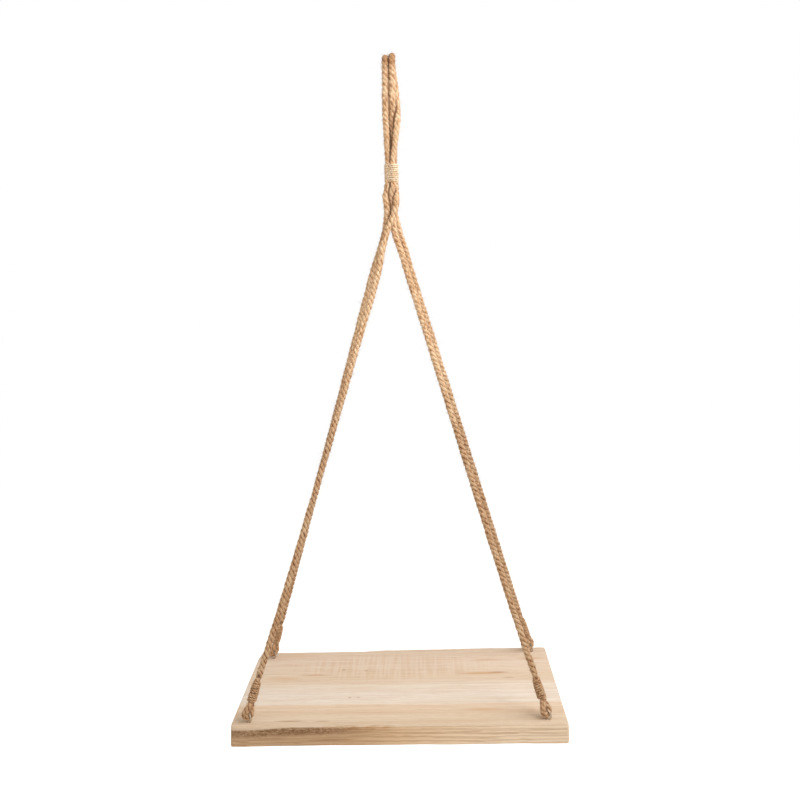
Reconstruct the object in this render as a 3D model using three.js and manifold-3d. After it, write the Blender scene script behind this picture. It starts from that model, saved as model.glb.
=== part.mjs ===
// A hanging shelf: one sawn board slung level under a hook by two jute ropes.
// The rear rope runs from the rear left corner up over the hook and down to the rear right
// corner, and the front rope joins the two front corners in the same way. Both ropes are
// bound together with twine a hand's width under the hook, which makes the hanging loop.
// Below that whipping the four runs cross each other and spread to the corners, where each
// ends in an eye that is closed with twine and goes through a steel screw eye in the board.
//
// Millimetres. +X is along the board to the right, +Y to its back, +Z up. The origin is the
// hook seat: the point between the two ropes where the top of the hook's rod carries them.
//
// A rope bends anywhere, so the rigid stretches here meet at three places: at the hook, at
// the top of the loop's whipping and just under it. The first two are cut round their axes,
// so the gap between the stretches stays the same at every angle.
import * as THREE from "three";
import Module from "manifold-3d";
import { mergeVertices } from "three/addons/utils/BufferGeometryUtils.js";
import { TessellateModifier } from "three/addons/modifiers/TessellateModifier.js";

const wasm = await Module();
wasm.setup();

// Board
const boardLength = 400;
const boardDepth = 250;
const boardThickness = 23;
const boardDrop = 788; // from the hook seat down to the board's top
const boardCornerRadius = 3;
const boardArris = 1; // the small bevel round the sawn edges
const boardPanel = 110; // the longest side of the triangles that its flat faces are split into

// Rope and twine
const ropeDiameter = 8;
const loopWhippedDiameter = 6; // the rope where the loop's whipping squeezes it
const eyeWhippedDiameter = 5.6; // and where a corner's whipping does
const eyeRopeDiameter = 7.2; // the rope where it bends through a screw eye
const twineDiameter = 1.9;
const twineSpacing = 0.45; // between neighbouring turns
const whippingSlack = 0.2; // lets the straight steps of a turn clear the rope
const pieceGap = 0.3; // between pieces that touch

// Hanging loop
const hookDiameter = 8; // the thickest hook that the loop sits on without spreading
const loopDrop = 121; // from the hook seat to the top of the whipping
const loopTwist = THREE.MathUtils.degToRad(-20); // the whipping is turned from the hook's rod
const loopWhippingTurns = 10;

// Crossing, under the loop's whipping
const crossingLength = 108;
const turnGapDrop = 3.6; // from the lowest turn of twine to the cut where the shelf turns

// Legs and their eyes
const legSag = 0.5; // a leg's slack, inwards at its middle
const eyeLength = 13; // from the screw eye's wire up to the whipping
const eyeWhippingTurns = 11;
const eyeWhippingTwist = THREE.MathUtils.degToRad(42); // the eye is twisted below its whipping
const tailLength = 3; // what shows of the tail above the whipping
const tailSpread = 1.3; // how far the tail's end leans away from the leg
const legSwell = 8; // the rope is back at its full size this far above the whipping

// Screw eyes, put in by eye: how far each stands in from the board's end and from its edge
const screwEyeInsets = {
  front_left: [17, 16],
  front_right: [23.5, 16],
  rear_left: [19.5, 23],
  rear_right: [22.5, 10],
};
const screwEyeHole = 9.6; // inside the ring
const screwEyeWire = 2.4;
const screwEyeTurn = THREE.MathUtils.degToRad(-45); // the rings' planes, seen from above
const screwShankDiameter = 3;
const screwShankLength = 14; // below the ring
const screwTipLength = 4;
const pilotOverrun = 1; // the pilot hole goes this much deeper than the tip

// Where the loop bends: the stretches inside these radii meet those outside them
const cutOverrun = 1;
const hookCupRadius = hookDiameter / 2 + ropeDiameter + pieceGap;
const swayCupRadius = 9;

// How finely the pieces are faceted
const ropeSides = 8;
const stepsBetweenPoints = 2;
const twineSides = 5;
const loopWhippingSteps = 16; // in one turn
const eyeWhippingSteps = 16;
const cupSides = 64;
const ringSides = 10;
const ringSteps = 24;
const gapSamples = 48; // in one turn, where the least gap between turns is measured

// Each run of rope is named for the corner that it goes to. Across and back are its place in
// the loop, and belly is how far it stands out at the loop's middle. Its own list holds its
// route through the crossing: the share of the crossing's length from the top, then right and
// back in shares of the rope's diameter.
const runs = [
  {
    corner: "front_left",
    across: 1,
    back: 1,
    bellyShare: 0.4,
    routeShares: [
      [0.04, 0.61, 0.11],
      [0.11, 0.73, -0.29],
      [0.19, 0.65, -0.68],
      [0.27, 0.4, -0.85],
      [0.35, 0.05, -0.91],
      [0.43, -0.4, -0.95],
      [0.51, -0.84, -1.03],
      [0.6, -1.21, -1.18],
      [0.72, -1.61, -1.43],
      [1, -2.38, -2.11],
    ],
  },
  {
    corner: "front_right",
    across: 1,
    back: -1,
    bellyShare: 0,
    routeShares: [
      [0.04, 0.11, -0.53],
      [0.11, -0.11, -0.16],
      [0.19, -0.08, 0.15],
      [0.27, -0.01, 0.3],
      [0.35, 0.13, 0.28],
      [0.43, 0.2, 0.1],
      [0.51, 0.31, -0.1],
      [0.6, 0.64, -0.28],
      [0.72, 1.2, -0.55],
      [1, 2.31, -1.2],
    ],
  },
  {
    corner: "rear_left",
    across: -1,
    back: -1,
    bellyShare: 0.05,
    routeShares: [
      [0.04, -0.71, -0.24],
      [0.11, -0.95, -0.32],
      [0.19, -0.86, -0.38],
      [0.27, -0.78, -0.33],
      [0.35, -0.83, -0.1],
      [0.43, -0.99, 0.18],
      [0.51, -1.18, 0.45],
      [0.6, -1.53, 0.7],
      [0.72, -2.11, 1.05],
      [1, -3.39, 1.76],
    ],
  },
  {
    corner: "rear_right",
    across: -1,
    back: 1,
    bellyShare: 0,
    routeShares: [
      [0.04, -0.15, 0.6],
      [0.11, 0.04, 0.85],
      [0.19, 0.13, 1.15],
      [0.27, 0.29, 1.28],
      [0.35, 0.51, 1.24],
      [0.43, 0.78, 1.2],
      [0.51, 1.06, 1.23],
      [0.6, 1.41, 1.4],
      [0.72, 1.94, 1.7],
      [1, 2.93, 2.35],
    ],
  },
];
// How the rope's size comes back along those ten places
const crossingSizeShares = [0.1, 0.2, 0.4, 0.6, 0.7, 0.8, 0.9, 1, 1, 1];
// Where the points of a loop's run, a leg's straight stretch, a crown and an eye lie along them
const loopRunShares = [0, 0.2, 0.4, 0.6, 0.8, 0.93, 1];
const loopCloseShares = [0, 0.1, 0.25, 0.45, 0.75, 0.95, 1];
const legShares = [0.15, 0.35, 0.55, 0.75, 0.92];
const crownBendShares = [0, 0.17, 0.33, 0.5, 0.67, 0.83, 1];
const eyeBendShares = [0, 0.25, 0.5, 0.75, 1];
const eyeBowShare = 0.55; // how wide the eye is at half its length, between its two ends

const materials = {
  wood: new THREE.MeshStandardMaterial({ color: "#e2cbab", roughness: 0.85, metalness: 0 }),
  rope: new THREE.MeshStandardMaterial({ color: "#c49b6c", roughness: 0.95, metalness: 0 }),
  twine: new THREE.MeshStandardMaterial({ color: "#d2b083", roughness: 0.95, metalness: 0 }),
  steel: new THREE.MeshStandardMaterial({ color: "#9a9a97", roughness: 0.35, metalness: 1 }),
};

// Places that several pieces share
const up = new THREE.Vector3(0, 0, 1);
const acrossLoop = new THREE.Vector3(1, 0, 0);
const backOfWhipping = new THREE.Vector3(0, 1, 0).applyAxisAngle(up, loopTwist);
const hookAxis = new THREE.Vector3(0, 0, -hookDiameter / 2);
const swayAxis = new THREE.Vector3(0, 0, -loopDrop);
const ropeBend = (hookDiameter + ropeDiameter) / 2;
const crownSide = (ropeDiameter + pieceGap) / 2; // from the middle to each rope on the hook
const bundleSide = (loopWhippedDiameter + pieceGap) / 2;
const pairSide = (eyeWhippedDiameter + pieceGap) / 2;
const twinePitch = twineDiameter + twineSpacing;
const turnCutHeight = -loopDrop - loopWhippingTurns * twinePitch - twineDiameter - turnGapDrop;
const ringRadius = (screwEyeHole + screwEyeWire) / 2;
const ringHeight = -boardDrop + screwEyeHole / 2; // the ring's hole starts level with the board

// A curve whose steps fall evenly between its points, so that close points give fine steps.
class Route extends THREE.CatmullRomCurve3 {
  getPointAt(share, target) {
    return this.getPoint(share, target);
  }
  getTangentAt(share, target) {
    return this.getTangent(share, target);
  }
}

// Twine wound round a bundle: a rounded rectangle climbed at a steady rate. The straight sides
// are twice width and depth long, and each starts and ends a turn, so the twine's ends are
// straight.
class Winding extends THREE.Curve {
  constructor(width, depth, bend, turns) {
    super();
    Object.assign(this, { width, depth, bend, turns });
  }
  getPoint(share, target = new THREE.Vector3()) {
    const { width, depth, bend } = this;
    const quarter = (Math.PI / 2) * bend;
    const sides = [
      [2 * width, -width, -depth - bend, 0, width, -depth],
      [2 * depth, width + bend, -depth, 1, width, depth],
      [2 * width, width, depth + bend, 2, -width, depth],
      [2 * depth, -width - bend, depth, 3, -width, -depth],
    ];
    const loop = 4 * (width + depth + quarter);
    let left = (share * this.turns * loop) % loop;
    for (const [length, x, y, quarters, cornerX, cornerY] of sides) {
      const heading = (quarters * Math.PI) / 2;
      if (left <= length) {
        target.set(x + left * Math.cos(heading), y + left * Math.sin(heading), 0);
        break;
      }
      left -= length;
      if (left <= quarter) {
        const angle = heading - Math.PI / 2 + left / bend;
        target.set(cornerX + bend * Math.cos(angle), cornerY + bend * Math.sin(angle), 0);
        break;
      }
      left -= quarter;
    }
    target.z = share * this.turns * twinePitch;
    return target;
  }
  getPointAt(share, target) {
    return this.getPoint(share, target);
  }
  getTangentAt(share, target) {
    return this.getTangent(share, target);
  }
}

function polygon(sides, radius) {
  const corner = (_, i) =>
    new THREE.Vector2(radius, 0).rotateAround(new THREE.Vector2(), (2 * Math.PI * i) / sides);
  return new THREE.Shape(Array.from({ length: sides }, corner));
}

// A rope through its keys, each a place and the rope's diameter there. A tube one unit in
// radius follows them, and each of its rings is then pushed out to the size of its place.
function ropeAlong(keys) {
  const path = new Route(keys.map((key) => key.place));
  const steps = (keys.length - 1) * stepsBetweenPoints;
  const options = { steps, bevelEnabled: false, extrudePath: path };
  const geometry = new THREE.ExtrudeGeometry(polygon(ropeSides, 1), options);
  const centres = path.getSpacedPoints(steps);
  const position = geometry.attributes.position;
  const vertex = new THREE.Vector3();
  for (let i = 0; i < position.count; i++) {
    vertex.fromBufferAttribute(position, i);
    let ring = 0;
    centres.forEach((centre, j) => {
      if (vertex.distanceToSquared(centre) < vertex.distanceToSquared(centres[ring])) ring = j;
    });
    const along = ring / stepsBetweenPoints;
    const before = Math.min(Math.floor(along), keys.length - 2);
    const [from, to] = [keys[before].diameter, keys[before + 1].diameter];
    const diameter = THREE.MathUtils.lerp(from, to, along - before);
    vertex.sub(centres[ring]).multiplyScalar(diameter / 2).add(centres[ring]);
    position.setXYZ(i, vertex.x, vertex.y, vertex.z);
  }
  return geometry;
}

function woundTwine(winding, stepsInTurn) {
  const steps = winding.turns * stepsInTurn;
  const options = { steps, bevelEnabled: false, extrudePath: winding };
  return new THREE.ExtrudeGeometry(polygon(twineSides, twineDiameter / 2), options);
}

// The least gap between the turns of a winding, measured on points of its centre line.
function leastGap(winding) {
  const points = winding.getSpacedPoints(winding.turns * gapSamples);
  let least = Infinity;
  for (let i = 0; i < points.length; i++) {
    for (let j = i + gapSamples / 2; j < points.length; j++) {
      least = Math.min(least, points[i].distanceTo(points[j]));
    }
  }
  return least - twineDiameter;
}

function toSolid(geometry) {
  const plain = geometry.clone();
  plain.deleteAttribute("normal");
  plain.deleteAttribute("uv");
  const merged = mergeVertices(plain);
  const vertProperties = merged.attributes.position.array;
  const triVerts = new Uint32Array(merged.index.array);
  return new wasm.Manifold(new wasm.Mesh({ numProp: 3, vertProperties, triVerts }));
}

function toGeometry(solid) {
  const { vertProperties, triVerts } = solid.getMesh();
  const geometry = new THREE.BufferGeometry();
  geometry.setAttribute("position", new THREE.BufferAttribute(vertProperties, 3));
  geometry.setIndex(new THREE.BufferAttribute(triVerts, 1));
  geometry.computeVertexNormals();
  return geometry;
}

// A round bar along a direction, for the cuts round an axis.
function bar(direction, centre, radius, length) {
  const geometry = new THREE.CylinderGeometry(radius, radius, length, cupSides);
  const turn = new THREE.Quaternion().setFromUnitVectors(new THREE.Vector3(0, 1, 0), direction);
  return toSolid(geometry.applyQuaternion(turn).translate(...centre.toArray()));
}

// A place in the loop: how far across it, how far back in it, its height, and how much of the
// loop's twist there is at that height.
function inLoop(across, back, height, twistShare = 1) {
  return new THREE.Vector3(across, back, height).applyAxisAngle(up, loopTwist * twistShare);
}

// The outer side of a cut is wider by the gap, measured to the flats of its facets.
const outside = (radius) => (radius + pieceGap) / Math.cos(Math.PI / cupSides);
const cutLength = 2 * (ropeBend + ropeDiameter);
const hookCup = bar(acrossLoop, hookAxis, hookCupRadius, cutLength);
const hookCupOutside = bar(acrossLoop, hookAxis, outside(hookCupRadius), cutLength);
const swayCup = bar(backOfWhipping, swayAxis, swayCupRadius, cutLength);
const swayCupOutside = bar(backOfWhipping, swayAxis, outside(swayCupRadius), cutLength);

// What lies above the axis of the sway and outside its cup.
function aboveSwayCup() {
  const block = new THREE.BoxGeometry(cutLength, cutLength, cutLength);
  const centre = swayAxis.clone().addScaledVector(up, cutLength / 2);
  return toSolid(block.translate(...centre.toArray())).subtract(swayCup);
}

// The bight of one rope over the hook.
function crown(side) {
  const across = side * crownSide;
  const key = (back, height) => ({ place: inLoop(across, back, height, 0), diameter: ropeDiameter });
  const stub = hookAxis.z - hookCupRadius;
  const bend = crownBendShares.map((share) => {
    const angle = Math.PI * (1 - share);
    return key(ropeBend * Math.cos(angle), hookAxis.z + ropeBend * Math.sin(angle));
  });
  const keys = [key(-ropeBend, stub), ...bend, key(ropeBend, stub)];
  return toGeometry(toSolid(ropeAlong(keys)).intersect(hookCup));
}

// One of the four runs of the loop, from the hook down to the whipping.
function loopRun({ across, back, bellyShare }) {
  const keys = loopRunShares.map((share, i) => {
    const side = THREE.MathUtils.lerp(crownSide, bundleSide, loopCloseShares[i]);
    const belly = bellyShare * ropeDiameter * Math.sin(Math.PI * share) ** 2;
    const depth = THREE.MathUtils.lerp(ropeBend, bundleSide, share);
    const height = THREE.MathUtils.lerp(hookAxis.z, swayAxis.z, share);
    const place = inLoop(across * (side + belly), back * depth, height, share);
    return { place, diameter: 2 * side - pieceGap };
  });
  const run = toSolid(ropeAlong(keys));
  return toGeometry(run.subtract(hookCupOutside).subtract(swayCupOutside));
}

// The stretch of a run inside the loop's whipping.
function throatRun({ across, back }) {
  const key = (height) => {
    const place = inLoop(across * bundleSide, back * bundleSide, height);
    return { place, diameter: loopWhippedDiameter };
  };
  const top = swayAxis.z + swayCupRadius + cutOverrun;
  const keys = [key(top), key(swayAxis.z), key(turnCutHeight + pieceGap / 2)];
  return toGeometry(toSolid(ropeAlong(keys)).subtract(aboveSwayCup()));
}

// Where a corner's screw eye stands, and the directions round it: along is up the leg, side is
// across the rope's eye, and wire is the middle of the wire that carries the rope.
function footOf(run) {
  const left = run.corner.endsWith("left");
  const front = run.corner.startsWith("front");
  const [fromEnd, fromEdge] = screwEyeInsets[run.corner];
  const x = (left ? -1 : 1) * (boardLength / 2 - fromEnd);
  const y = (front ? -1 : 1) * (boardDepth / 2 - fromEdge);
  const ring = new THREE.Vector3(x, y, ringHeight);
  const through = new THREE.Vector3(0, 1, 0).applyAxisAngle(up, screwEyeTurn);
  const top = crossingPlace(run.routeShares.at(-1));
  const away = top.clone().sub(ring);
  const radial = away.clone().projectOnPlane(through).normalize();
  const wire = ring.clone().addScaledVector(radial, ringRadius);
  const along = top.clone().sub(wire).normalize();
  const side = through.clone().projectOnPlane(along).normalize();
  if (!left) side.negate();
  return { ring, wire, along, side, top };
}

function crossingPlace([share, right, back]) {
  const height = turnCutHeight - share * crossingLength;
  return new THREE.Vector3(right * ropeDiameter, back * ropeDiameter, height);
}

const eyeWhippingLength = eyeWhippingTurns * twinePitch + twineDiameter;

// One leg in a single length: its crossing, its straight stretch, its eye and its tail.
function leg(run) {
  const { wire, along, side, top } = footOf(run);
  const start = inLoop(run.across * bundleSide, run.back * bundleSide, turnCutHeight);
  const crossing = run.routeShares.map((place, i) => {
    const size = THREE.MathUtils.lerp(loopWhippedDiameter, ropeDiameter, crossingSizeShares[i]);
    return { place: crossingPlace(place), diameter: size };
  });

  // A place in the eye: how high above the wire, how far to the side, and how far twisted.
  const inEye = (height, out, twist, diameter) => {
    const sideways = side.clone().applyAxisAngle(along, twist);
    const place = wire.clone().addScaledVector(along, height).addScaledVector(sideways, out);
    return { place, diameter };
  };
  const bend = (screwEyeWire + eyeRopeDiameter) / 2 + pieceGap;
  const bow = THREE.MathUtils.lerp(pairSide, bend, eyeBowShare);
  const bowDiameter = THREE.MathUtils.lerp(eyeWhippedDiameter, eyeRopeDiameter, eyeBowShare);
  const twist = eyeWhippingTwist;
  const whippingTop = eyeLength + eyeWhippingLength;
  const down = [
    inEye(whippingTop, pairSide, twist, eyeWhippedDiameter),
    inEye(eyeLength, pairSide, twist, eyeWhippedDiameter),
    inEye(eyeLength / 2, bow, twist / 2, bowDiameter),
  ];
  const round = eyeBendShares.map((share) => {
    const angle = Math.PI * share;
    return inEye(-bend * Math.sin(angle), bend * Math.cos(angle), 0, eyeRopeDiameter);
  });
  const back = [
    inEye(eyeLength / 2, -bow, twist / 2, bowDiameter),
    inEye(eyeLength, -pairSide, twist, eyeWhippedDiameter),
    inEye(whippingTop, -pairSide, twist, eyeWhippedDiameter),
    inEye(whippingTop + tailLength, -pairSide - tailSpread, twist, eyeWhippedDiameter),
  ];

  const foot = inEye(whippingTop + legSwell, pairSide, twist, ropeDiameter);
  const slack = up.clone().negate().projectOnPlane(along).normalize();
  const straight = legShares.map((share) => {
    const place = top.clone().lerp(foot.place, share);
    place.addScaledVector(slack, 4 * share * (1 - share) * legSag);
    return { place, diameter: ropeDiameter };
  });
  const first = { place: start, diameter: loopWhippedDiameter };
  const above = { ...first, place: start.clone().addScaledVector(up, ropeDiameter) };
  const keys = [above, first, ...crossing, ...straight, foot, ...down, ...round, ...back];
  return toGeometry(toSolid(ropeAlong(keys)).trimByPlane([0, 0, -1], pieceGap / 2 - turnCutHeight));
}

// A screw eye, standing at the origin with its ring across X: the ring and its pointed shank.
function screwEye(grow = 0) {
  const ring = new THREE.TorusGeometry(
    ringRadius,
    screwEyeWire / 2 + grow,
    ringSides,
    ringSteps,
  ).rotateX(Math.PI / 2);
  const radius = screwShankDiameter / 2 + grow;
  const tip = -ringRadius - screwShankLength - (grow ? pilotOverrun : 0);
  const profile = [
    new THREE.Vector2(0, tip),
    new THREE.Vector2(radius, tip + screwTipLength),
    new THREE.Vector2(radius, -ringRadius),
    new THREE.Vector2(0, -ringRadius),
  ];
  const shank = new THREE.LatheGeometry(profile, ringSides).rotateX(Math.PI / 2);
  return toSolid(ring).add(toSolid(shank));
}

// The board, with its pilot holes and the bites that the rings have taken out of its top.
function board(feet) {
  const [x, y] = [boardLength / 2, boardDepth / 2];
  const r = boardCornerRadius;
  const plan = new THREE.Shape();
  plan.moveTo(r - x, -y);
  plan.lineTo(x - r, -y);
  plan.absarc(x - r, r - y, r, -Math.PI / 2, 0);
  plan.absarc(x - r, y - r, r, 0, Math.PI / 2);
  plan.absarc(r - x, y - r, r, Math.PI / 2, Math.PI);
  plan.absarc(r - x, r - y, r, Math.PI, (3 * Math.PI) / 2);
  const plank = new THREE.ExtrudeGeometry(plan, {
    depth: boardThickness - 2 * boardArris,
    bevelThickness: boardArris,
    bevelSize: boardArris,
    bevelOffset: -boardArris,
    bevelSegments: 1,
    curveSegments: 3,
  }).translate(0, 0, boardArris - boardDrop - boardThickness);
  let solid = toSolid(plank);
  for (const { ring } of feet) {
    const hole = toGeometry(screwEye(pieceGap)).rotateZ(screwEyeTurn);
    solid = solid.subtract(toSolid(hole.translate(...ring.toArray())));
  }
  const flat = toGeometry(solid).toNonIndexed();
  flat.deleteAttribute("normal");
  const panels = new TessellateModifier(boardPanel, 12).modify(flat);
  panels.computeVertexNormals();
  return panels;
}

const shelf = new THREE.Group();

function addPiece(name, geometry, material) {
  const mesh = new THREE.Mesh(geometry, materials[material].clone());
  mesh.name = name;
  shelf.add(mesh);
  return mesh;
}

addPiece("crown_front_rope", crown(1), "rope");
addPiece("crown_rear_rope", crown(-1), "rope");

const loopBend = (loopWhippedDiameter + twineDiameter) / 2 + pieceGap + whippingSlack;
const loopWinding = new Winding(bundleSide, bundleSide, loopBend, loopWhippingTurns);
const loopTwine = addPiece("whipping_loop", woundTwine(loopWinding, loopWhippingSteps), "twine");
loopTwine.rotation.z = loopTwist;
loopTwine.position.z = swayAxis.z - loopWhippingTurns * twinePitch - twineDiameter / 2;

const eyeBend = (eyeWhippedDiameter + twineDiameter) / 2 + pieceGap + whippingSlack;
const eyeWinding = new Winding(pairSide, 0, eyeBend, eyeWhippingTurns);

for (const run of runs) {
  const { ring, wire, along, side } = footOf(run);
  addPiece(`loop_run_${run.corner}`, loopRun(run), "rope");
  addPiece(`throat_run_${run.corner}`, throatRun(run), "rope");
  addPiece(`leg_${run.corner}`, leg(run), "rope");

  const twine = addPiece(`whipping_${run.corner}`, woundTwine(eyeWinding, eyeWhippingSteps), "twine");
  const across = side.clone().applyAxisAngle(along, eyeWhippingTwist);
  const deep = along.clone().cross(across);
  twine.setRotationFromMatrix(new THREE.Matrix4().makeBasis(across, deep, along));
  twine.position.copy(wire).addScaledVector(along, eyeLength + twineDiameter / 2);

  const eye = addPiece(`screw_eye_${run.corner}`, toGeometry(screwEye()), "steel");
  eye.rotation.z = screwEyeTurn;
  eye.position.copy(ring);
}

addPiece("board", board(runs.map(footOf)), "wood");

for (const [name, winding] of Object.entries({ loop: loopWinding, eye: eyeWinding })) {
  console.log(`least gap between turns of the ${name} whipping: ${leastGap(winding).toFixed(2)} mm`);
}

export default shelf;
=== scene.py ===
# %% [markdown]
# # A shelf that hangs by its ropes
# One board of pale wood hangs from a hook by two jute ropes. Each rope runs from a screw eye
# up over the hook and down to another screw eye, and thin twine binds the four runs together
# under the hook and each eye at a corner. The lesson starts from the solid model, which fixes
# every size, and gives each piece the surface of its real material: the lay of the rope, the
# two plies of the twine, the sawn wood and the bent wire.

import bpy
import numpy as np
from mathutils import Matrix


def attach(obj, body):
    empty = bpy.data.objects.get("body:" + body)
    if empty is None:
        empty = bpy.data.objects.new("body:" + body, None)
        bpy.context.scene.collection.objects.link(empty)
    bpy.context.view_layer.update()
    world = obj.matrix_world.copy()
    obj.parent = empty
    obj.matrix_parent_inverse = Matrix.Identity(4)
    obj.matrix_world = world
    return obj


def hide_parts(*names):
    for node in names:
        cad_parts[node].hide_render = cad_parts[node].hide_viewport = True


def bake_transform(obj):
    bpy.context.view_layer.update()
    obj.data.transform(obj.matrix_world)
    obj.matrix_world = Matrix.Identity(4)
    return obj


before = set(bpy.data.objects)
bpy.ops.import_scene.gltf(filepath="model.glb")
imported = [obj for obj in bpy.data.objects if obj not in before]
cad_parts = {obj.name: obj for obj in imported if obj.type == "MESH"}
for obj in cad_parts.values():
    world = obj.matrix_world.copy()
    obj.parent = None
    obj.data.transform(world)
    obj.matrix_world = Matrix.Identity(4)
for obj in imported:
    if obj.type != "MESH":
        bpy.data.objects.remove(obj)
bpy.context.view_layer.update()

# %% [markdown]
# ## The camera
# The camera stands a little to the right of the middle, about 1.3 m in front of the ropes and
# a hand's width below the whipping of the loop. It looks down by seven degrees, so the board
# shows its top. These numbers come from fitting the board's corners and the loop to where the
# picture has them, in a frame 800 pixels wide.

# %% Place the camera
eye = np.array([0.036, -1.326, -0.247])
down, left, tilt = np.radians([7.18, 1.33, 1.11])
focal_pixels = 1061.7

ahead = np.array([-np.sin(left) * np.cos(down), np.cos(left) * np.cos(down), -np.sin(down)])
level = np.array([np.cos(left), np.sin(left), 0.0])
upward = np.cross(level, ahead)
rightward = np.cos(tilt) * level - np.sin(tilt) * upward
upward = np.sin(tilt) * level + np.cos(tilt) * upward

camera_data = bpy.data.cameras.new("camera")
camera_data.sensor_width = 36.0
camera_data.lens = focal_pixels / 800 * camera_data.sensor_width
camera = bpy.data.objects.new("camera", camera_data)
turn = np.eye(4)
turn[:3, :4] = np.column_stack([rightward, upward, -ahead, eye])
camera.matrix_world = Matrix(turn.tolist())
bpy.context.scene.collection.objects.link(camera)
bpy.context.scene.camera = camera
print(f"lens {camera_data.lens:.2f} mm")

# %% [markdown]
# ## The line that a rope follows
# A rope is first only a line in space. Its key points stand where the real rope bends or is
# squeezed, with the rope's thickness at each. A centripetal spline goes through all of them
# without loops or overshoot, however unevenly they are spaced, so it suits keys that crowd at
# an eye and spread out along a straight leg. The line is then cut into even steps of about a
# millimetre, because the lay of the rope is a matter of true length.

# %% Key points become an even line
def even_line(keys, sizes, step):
    """Points at even steps on a smooth curve through the keys, and the size at each point.
    Between two keys the curve is a cubic. Its slope at a key weighs the way in and the way out
    by the square root of their lengths, and size goes in proportion from one key to the next."""
    keys = np.asarray(keys, float)
    padded = np.vstack([2 * keys[0] - keys[1], keys, 2 * keys[-1] - keys[-2]])
    p0, p1, p2, p3 = padded[:-3], padded[1:-2], padded[2:-1], padded[3:]
    knot = np.sqrt(np.linalg.norm(np.diff(padded, axis=0), axis=1))[:, None]
    a, b, c = knot[:-2], knot[1:-1], knot[2:]
    leave = ((p1 - p0) / a - (p2 - p0) / (a + b) + (p2 - p1) / b) * b
    arrive = ((p2 - p1) / b - (p3 - p1) / (b + c) + (p3 - p2) / c) * b
    t = np.linspace(0, 1, 41)[None, :-1, None]
    cubic = (
        p1[:, None]
        + leave[:, None] * t
        + (3 * (p2 - p1) - 2 * leave - arrive)[:, None] * t**2
        + (2 * (p1 - p2) + leave + arrive)[:, None] * t**3
    )
    dense = np.vstack([cubic.reshape(-1, 3), keys[-1]])
    share = np.linspace(0, len(keys) - 1, len(dense))
    length = np.concatenate([[0], np.cumsum(np.linalg.norm(np.diff(dense, axis=0), axis=1))])
    even = np.linspace(0, length[-1], max(8, int(round(length[-1] / step))) + 1)
    points = np.column_stack([np.interp(even, length, dense[:, k]) for k in range(3)])
    size = np.interp(np.interp(even, length, share), np.arange(len(keys)), sizes)
    return points, size, even


# %% The sizes that the routes share, in millimetres and radians
rope, whipped, pinched, bent_rope = 8.0, 6.4, 5.6, 7.2
gap, hook, loop_drop, loop_twist = 0.1, 8.0, 121.0, np.radians(-20)
twine_pitch, loop_turns, whipping_middle = 2.35, 10, -133.0
bend = (hook + rope) / 2
crown_side, bundle_side, pair_side = ((wide + gap) / 2 for wide in (rope, whipped, pinched))
turn_cut, crossing = -150.0, 108.0
eye_length, eye_whipping, eye_twist = 13.0, 27.75, np.radians(42)
ring_radius, ring_wire, ring_height, ring_turn = 6.0, 2.4, -783.2, np.radians(-45)
half_length, half_depth, thickness, top_height = 200.0, 125.0, 23.0, -788.0
rope_step = 1.15
print(f"the rope bends over the hook on a radius of {bend:g} mm")


# %% [markdown]
# ## The two ropes in the loop
# Both ropes pass over the hook side by side, so four runs hang in the loop, two in front and
# two behind. The loop is turned by 20 degrees on its way down to the whipping. The front rope
# makes half a turn about itself as well: its far run comes out on the right and ends in front
# of its near run. The route is written for one rope at a time, from inside the whipping up
# over the hook and down into the whipping again, so that the lay never breaks at the hook.

# %% Routes over the hook
# Where each leg's rope lies in the whipping: across and back
runs = {
    "front_left": (1, 1), "front_right": (1, -1), "rear_left": (-1, -1), "rear_right": (-1, 1),
}
way_down = (0, 0.2, 0.4, 0.6, 0.8, 0.93, 1)
closing = (0, 0.1, 0.25, 0.45, 0.75, 0.95, 1)
# Places of the front rope's near and far run at each share of the way down, to the right and
# to the back, and how far the hook's slope shifts and lifts each rope at the top
half_turn = {
    -1: ((3.35, -8), (3.6, -7.2), (2.9, -4), (2, 3.4), (4, 3.8), (4.3, 2.4), (4.15, 1.9)),
    1: ((3.35, 8), (6.2, 6.2), (8.2, 3), (8.3, -1.5), (5.4, -4.5), (2.6, -4.4), (1.95, -4.15)),
}
lean, lift = -0.7, {1: 1.4, -1: -0.6}
loop_belly, loop_swell = 0.7, 0.5  # how far a run bows out and how much it thickens half way


def in_loop(across, back, height, twist_share=1.0):
    """A place in the loop: across and back, turned round the plumb line by the loop's twist."""
    angle = loop_twist * twist_share
    c, s = np.cos(angle), np.sin(angle)
    return [c * across - s * back, s * across + c * back, height]


def down_the_loop(across, back):
    """Keys of one run from the level of the hook to the middle of the whipping. Across is 1 for
    the front rope and -1 for the rear rope, and back is -1 for the near run and 1 for the far."""
    keys, sizes = [], []
    for share, close, place in zip(way_down, closing, half_turn[back]):
        side = crown_side + (bundle_side - crown_side) * close
        belly = loop_belly * np.sin(np.pi * share) ** 2
        depth = bend + (bundle_side - bend) * share
        height = -hook / 2 + (hook / 2 - loop_drop) * share
        x, y, z = in_loop(across * (side + belly), back * depth, height, share)
        keys.append([*place, z] if across == 1 else [x + lean * (1 - share), y, z])
        sizes.append(2 * side - gap + loop_swell * np.sin(np.pi * share))
    for height in (whipping_middle + 6, whipping_middle):
        keys.append(in_loop(across * bundle_side, -across * back * bundle_side, height))
        sizes.append(whipped)
    return keys, sizes


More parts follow.
